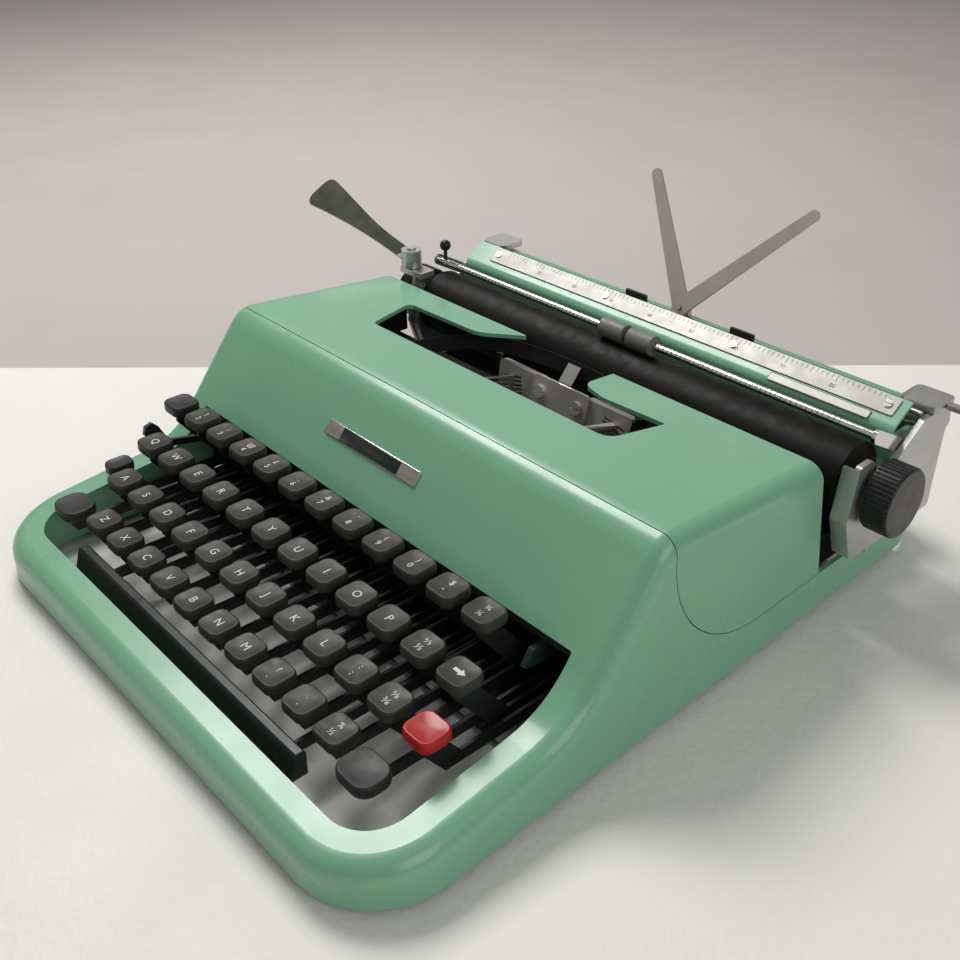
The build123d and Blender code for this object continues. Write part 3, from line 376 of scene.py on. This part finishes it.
def arrow(node):
    """A solid arrow pointing right, cut as one flat shape."""
    low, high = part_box(node)
    outline = ((2.8, 0), (0.3, -1.7), (0.3, -0.75), (-2.7, -0.75), (-2.7, 0.75), (0.3, 0.75), (0.3, 1.7))
    bm = bmesh.new()
    face = bm.faces.new([bm.verts.new((x * MM, y * MM, 0)) for x, y in reversed(outline)])
    lifted = bmesh.ops.extrude_face_region(bm, geom=[face])
    bmesh.ops.translate(bm, vec=(0, 0, LETTERING_DEPTH),
                        verts=[v for v in lifted["geom"] if isinstance(v, bmesh.types.BMVert)])
    mesh = mesh_from(bm, "arrow")
    mesh.transform(Matrix.Translation(((low.x + high.x) / 2, low.y + CAP_HALF_DEPTH, high.z - 0.4 * MM)))
    new_object("legend_backspace", mesh, legend_white, node)


arrow("backspace_key")


def lock_and_shift():
    """The shift lock's narrow top and the two large shift tops."""
    low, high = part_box("shift_lock_key")
    cap = cap_piece("shift_lock_key", lock_cap, Vector((low.x + 4.7 * MM, low.y + 6.0 * MM, high.z)),
                    blank_plastic)
    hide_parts("shift_lock_key")
    key_lever("shift_lock_key", high.z - CAP_HEIGHT)
    low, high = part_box("shift_keys")
    for side, x in (("_left", low.x + 9.0 * MM), ("_right", high.x - 9.0 * MM)):
        cap = cap_piece("shift_keys", shift_cap, Vector((x, low.y + 7.5 * MM, high.z)), blank_plastic, side)
        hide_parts("shift_keys")
    key_lever("shift_keys", high.z - CAP_HEIGHT)


lock_and_shift()
SPACE_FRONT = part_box("space_bar")[0].y
SPACE_DEPTH = 7.05 * MM
paint("space_bar", bar_plastic, (lever_steel, lambda c: c.y > SPACE_FRONT + SPACE_DEPTH))

# ---------------------------------------------------------------- body and frame



def on_lip(c):
    """Whether a place lies on the cut edge of the front panel's lower lip, painted black as painted shade."""
    return abs(c.y - PANEL_LIP_Y) < 0.3 * MM and abs(c.x) < 121 * MM and c.z > 30 * MM


def on_spool(c, radius, low, high):
    """Whether a place lies on a ribbon spool within a radius and a height range."""
    reach = math.hypot(abs(c.x) - SPOOL_X, c.y - SPOOL_Y)
    return reach < radius * MM and low * MM < c.z < high * MM


# The cut edge of the panel's lower lip is painted black: painted shade below the panel.
paint("lower_housing", enamel, (black_paint_and_shade, on_lip))
paint("ribbon_cover", enamel)
paint(
    "chassis_frame",
    black_paint_and_shade,
    (foot_rubber, lambda c: c.z < 5.01 * MM and abs(c.x) > 125 * MM),
    (ribbon_cloth, lambda c: on_spool(c, 17.05, 53.25, 62.15)),
    (steel, lambda c: on_spool(c, 22.1, 50.0, 67.0)),
    # The lever under the panel's right end: dark green, darkened further as painted shade under the panel.
    (enamel_dark_and_shade, lambda c: 103 * MM < c.x < 107 * MM and c.y < -36 * MM and c.z > 25.7 * MM),
    (steel, lambda c: 100 * MM < c.y < 108 * MM and c.z > 28.5 * MM),
)
GUIDE_HALF = 4.2 * MM
paint(
    "type_basket",
    typebar_steel,
    (steel, lambda c: abs(c.x) < GUIDE_HALF and c.y > 62.8 * MM and c.z > 57 * MM),
    (segment_steel, lambda c: c.y > 52 * MM and Vector((c.x, c.z - 58 * MM)).length > 33 * MM),
    (segment_steel, lambda c: c.y > 54.5 * MM),
)


def badge():
    """A blank plate on the front panel: bright frame and ends with a dark field between them."""
    along = Vector((0, math.cos(PANEL_SLOPE), math.sin(PANEL_SLOPE)))
    normal = Vector((0, -math.sin(PANEL_SLOPE), math.cos(PANEL_SLOPE)))
    centre = PANEL_FOOT + along * 44.6 * MM + Vector((-7.5 * MM, 0, 0))
    for name, width, depth, shift, lift, material in (
        ("badge_plate", 61.0, 6.6, 0.0, 0.75, badge_silver),
        ("badge_field", 39.0, 5.9, -0.5, 0.95, badge_black),
    ):
        mesh = lofted([(width * MM, depth * MM, 0.5 * MM, 0.02 * MM),
                       (width * MM, depth * MM, 0.5 * MM, (lift - 0.15) * MM),
                       ((width - 0.3) * MM, (depth - 0.3) * MM, 0.4 * MM, lift * MM)], name)
        placed(mesh, centre + Vector((shift * MM, 0, 0)), (1, 0, 0), normal)
        new_object(name, mesh, material, "body")


badge()


def ribbon():
    """Inked ribbon from one spool, behind the typebars, past the type guide to the other spool."""
    height, strips = 8.6, 4
    half = [(86.0, 22.0, 53.4), (74.0, 46.0, 57.0), (56.0, 62.5, 60.6), (30.0, 68.5, 60.8), (9.0, 71.1, 60.8)]
    points = half + [(-x, y, z) for x, y, z in reversed(half)]
    bm = bmesh.new()
    rows = []
    for x, y, z in points:
        row = []
        for k in range(strips + 1):
            row.append(bm.verts.new((x * MM, y * MM, (z + height * k / strips) * MM)))
        rows.append(row)
    for a, b in zip(rows, rows[1:]):
        for k in range(strips):
            bm.faces.new((a[k], b[k], b[k + 1], a[k + 1]))
    mesh = mesh_from(bm, "ribbon", 80.0)
    piece = new_object("ribbon", mesh, ribbon_cloth, "body")
    curve = piece.modifiers.new("soft", "SUBSURF")
    curve.levels = 2
    curve.render_levels = 2
    thick = piece.modifiers.new("cloth", "SOLIDIFY")
    thick.thickness = 0.12 * MM
    thick.offset = 0.0


ribbon()


def spool_shelves():
    """Dark shelves and guards beside the spools, and a black sheet under the back half of the key levers:
    painted shade, for the machine is open underneath.
    """
    shelf_low, shelf_high = 46.6 * MM, 47.8 * MM
    for side, name in ((-1, "left"), (1, "right")):
        for kind, inner, outer, front, back, low, high in (
            ("shelf", 47.0, 122.6, 24.0, 61.0, shelf_low, shelf_high),
            ("guard", 121.2, 122.4, 26.0, 66.0, shelf_high, 68.0 * MM),
        ):
            near, far = sorted((side * inner * MM, side * outer * MM))
            mesh = box_mesh((near, front * MM, low), (far, back * MM, high), f"{kind}_{name}", SOFT_EDGE)
            new_object(f"spool_{kind}_{name}", mesh, black_paint_and_shade, "body")
    # A black sheet as painted shade under the levers, where the real machine is open.
    shade_sheet = box_mesh((-119 * MM, -76 * MM, 2.0 * MM), (119 * MM, -22 * MM, 3.0 * MM), "shade_sheet", SOFT_EDGE)
    new_object("lever_pan", shade_sheet, black_paint_and_shade, "body")


spool_shelves()

# ---------------------------------------------------------------- carriage

paint("carriage_frame", satin_grey,
      (black_paint_and_shade, lambda c: c.z < 33 * MM and 94 * MM < c.y < 114 * MM
       and abs(c.x - CARRIAGE_X) < CARRIAGE_HALF - 3 * MM),
      (steel, lambda c: abs(c.x - CARRIAGE_X) < CARRIAGE_HALF - 14 * MM))


def on_ruler(c, low, high, reach):
    """Whether a place stands in a height range over the table's slope and not beyond a reach up it."""
    height, along = (c - TABLE_BEND).dot(TABLE_NORMAL), (c - TABLE_BEND).dot(TABLE_ALONG)
    return low * MM < height < high * MM and 5.0 * MM < along < reach * MM


TABLE_TOP_Y = TABLE_BEND.y + TABLE_LENGTH * math.cos(TABLE_LEAN)
paint("paper_table", enamel,
      (chrome, lambda c: on_ruler(c, 1.52, 2.4, 15.0)),
      (ruler_white, lambda c: on_ruler(c, 0.72, 1.6, 15.2)),
      (black_paint_and_shade, lambda c: TABLE_TOP_Y + 0.6 * MM < c.y < 124.15 * MM and c.z > 80.4 * MM),
      (steel, lambda c: 122.6 * MM < c.y < 132.9 * MM and (c.z > 78.9 * MM or c.y < 126 * MM)))
paint("platen", rubber,
      (knob_plastic, lambda c: abs(c.x - CARRIAGE_X) > CARRIAGE_HALF + 1.9 * MM),
      (steel, lambda c: abs(c.x - CARRIAGE_X) > 128.0 * MM and (c - PLATEN_AXIS).yz.length < 5.0 * MM))
paint("paper_bail", chrome,
      (bail_grey, lambda c: -13 * MM < c.x - CARRIAGE_X < 20 * MM),
      (knob_plastic, lambda c: c.z > 83.5 * MM and c.y < 95 * MM and c.x < CARRIAGE_X - 110 * MM))
paint("return_lever", lever_olive, (satin_grey, lambda c: c.x > -137.6 * MM))
paint("paper_support_left", support_grey)
paint("paper_support_right", support_grey)


def ruler_marks():
    """Scale on the ruler: a tick at every typed character, longer at fives and tens, tens numbered."""
    first = RULER_LEFT + 11.0 * MM
    ticks = []
    numbers = []
    for count in range(91):
        x = first + count * CHARACTER_PITCH
        if x > RULER_RIGHT - 5 * MM:
            break
        long = 3.4 if count % 10 == 0 else 2.8 if count % 5 == 0 else 2.0
        mesh = box_mesh((-0.11 * MM, -long * MM, 0.0), (0.11 * MM, 0.0, 0.05 * MM), "tick")
        top = RULER_CENTRE + TABLE_ALONG * 4.2 * MM
        ticks.append(placed(mesh, Vector((x, top.y, top.z)), (1, 0, 0), TABLE_NORMAL))
        if count % 10 == 0 and count:
            words = text_mesh(str(count), 2.9 * MM, 0.025 * MM)
            low = RULER_CENTRE + TABLE_ALONG * -1.5 * MM + TABLE_NORMAL * 0.03 * MM
            numbers.append(placed(words, Vector((x, low.y, low.z)), (1, 0, 0), TABLE_NORMAL))
    for mesh_list, name in ((ticks, "ruler_ticks"), (numbers, "ruler_numbers")):
        new_object(name, joined(mesh_list, name), ink_and_shade, "carriage")


ruler_marks()


def table_label():
    """A blank ivory plate on the paper table below the ruler, set on a black plate whose rim is painted shade
    of the gap round it.
    """
    centre = TABLE_BEND + TABLE_ALONG * 2.3 * MM + TABLE_NORMAL * TABLE_FACE
    place = Vector((CARRIAGE_X + 94 * MM, centre.y, centre.z))
    # The black rim round the label is painted shade of the gap.
    for name, width, depth, lift, material in (("table_label_gap_shade", 50.0, 4.3, 0.35, ink_and_shade),
                                               ("table_label", 49.2, 3.5, 0.5, label_white)):
        mesh = lofted([(width * MM, depth * MM, 0.5 * MM, height) for height in (0.0, lift * MM)], name)
        placed(mesh, place, (1, 0, 0), TABLE_NORMAL)
        new_object(name, mesh, material, "carriage")


table_label()


def bail_graduations():
    """Fine dark rings round the bail rod, one at every typed character, clear of its rollers."""
    bm = bmesh.new()
    for count in range(-46, 47):
        x = CARRIAGE_X + count * CHARACTER_PITCH
        if -14 * MM < x - CARRIAGE_X < 21 * MM:
            continue
        turn = Matrix.Translation((x, BAIL_ROD.y, BAIL_ROD.z)) @ Matrix.Rotation(math.pi / 2, 4, "Y")
        bmesh.ops.create_cone(bm, cap_ends=True, segments=20, radius1=1.83 * MM, radius2=1.83 * MM,
                              depth=0.35 * MM, matrix=turn)
    new_object("bail_graduations", mesh_from(bm, "bail_graduations"), ink_and_shade, "paper_bail")


bail_graduations()


# ---------------------------------------------------------------- stage


def ground():
    """A pale floor, and beyond its far edge a greyer sheet that stands for the wall."""
    left, right = Vector((-0.36, -0.12, 0)), Vector((0.10, 0.38, 0))
    run = (right - left).normalized()
    out = Vector((-run.y, run.x, 0))
    near, far = left - run * 5, right + run * 5
    for name, shift, colour, grain in (("floor", -6.0, (0.84, 0.82, 0.79), 220.0),
                                       ("back_sheet", 6.0, (0.50, 0.46, 0.45), 120.0)):
        corners = [near, far, far + out * shift, near + out * shift]
        mesh = bpy.data.meshes.new(name)
        mesh.from_pydata([tuple(c) for c in corners], [], [(0, 1, 2, 3) if shift > 0 else (3, 2, 1, 0)])
        mesh.materials.append(surface(name, colour, 0.6, mottle=0.03, patch=5.0, grain=grain, bump=0.5,
                                      bump_depth=0.0008))
        sheet = bpy.data.objects.new(name, mesh)
        bpy.context.scene.collection.objects.link(sheet)


def lights():
    """An even glow all round, and four soft lamps of which the key stands left and high."""
    world = bpy.data.worlds.new("studio")
    bpy.context.scene.world = world
    world.use_nodes = True
    background = world.node_tree.nodes["Background"]
    background.inputs["Color"].default_value = (0.95, 0.93, 0.91, 1)
    background.inputs["Strength"].default_value = 0.25
    for name, place, aim, power, width, colour in (
        ("key_light", (-0.75, 0.2, 1.2), (0, 0.0, 0.03), 15.0, 0.6, (1.0, 0.985, 0.96)),
        ("sheen_light", (-1.1, 1.2, 0.95), (0, 0, 0.05), 2.0, 1.3, (1.0, 0.99, 0.97)),
        ("fill_light", (1.4, -0.2, 0.8), (0, 0, 0.05), 7.0, 1.0, (0.98, 0.99, 1.0)),
        ("front_light", (-0.9, -1.3, 1.0), (0, -0.1, 0.0), 0.8, 1.2, (1.0, 0.99, 0.97)),
    ):
        data = bpy.data.lights.new(name, "AREA")
        data.energy = power
        data.size = width
        data.color = colour
        lamp = bpy.data.objects.new(name, data)
        bpy.context.scene.collection.objects.link(lamp)
        lamp.location = place
        lamp.rotation_euler = (Vector(aim) - Vector(place)).to_track_quat("-Z", "Y").to_euler()


def camera():
    """The photo's view: front right and above."""
    data = bpy.data.cameras.new("camera")
    data.sensor_width = 36.0
    data.lens = 42.92
    data.shift_x = -0.0167
    data.shift_y = -0.0977
    holder = bpy.data.objects.new("camera", data)
    bpy.context.scene.collection.objects.link(holder)
    holder.location = (0.3295, -0.2846, 0.3057)
    holder.rotation_euler = (math.radians(90.0 - 27.28), math.radians(0.13), math.radians(47.23))
    bpy.context.scene.camera = holder
    bpy.context.scene.view_settings.view_transform = "Standard"


ground()
lights()
camera()

bpy.context.view_layer.update()
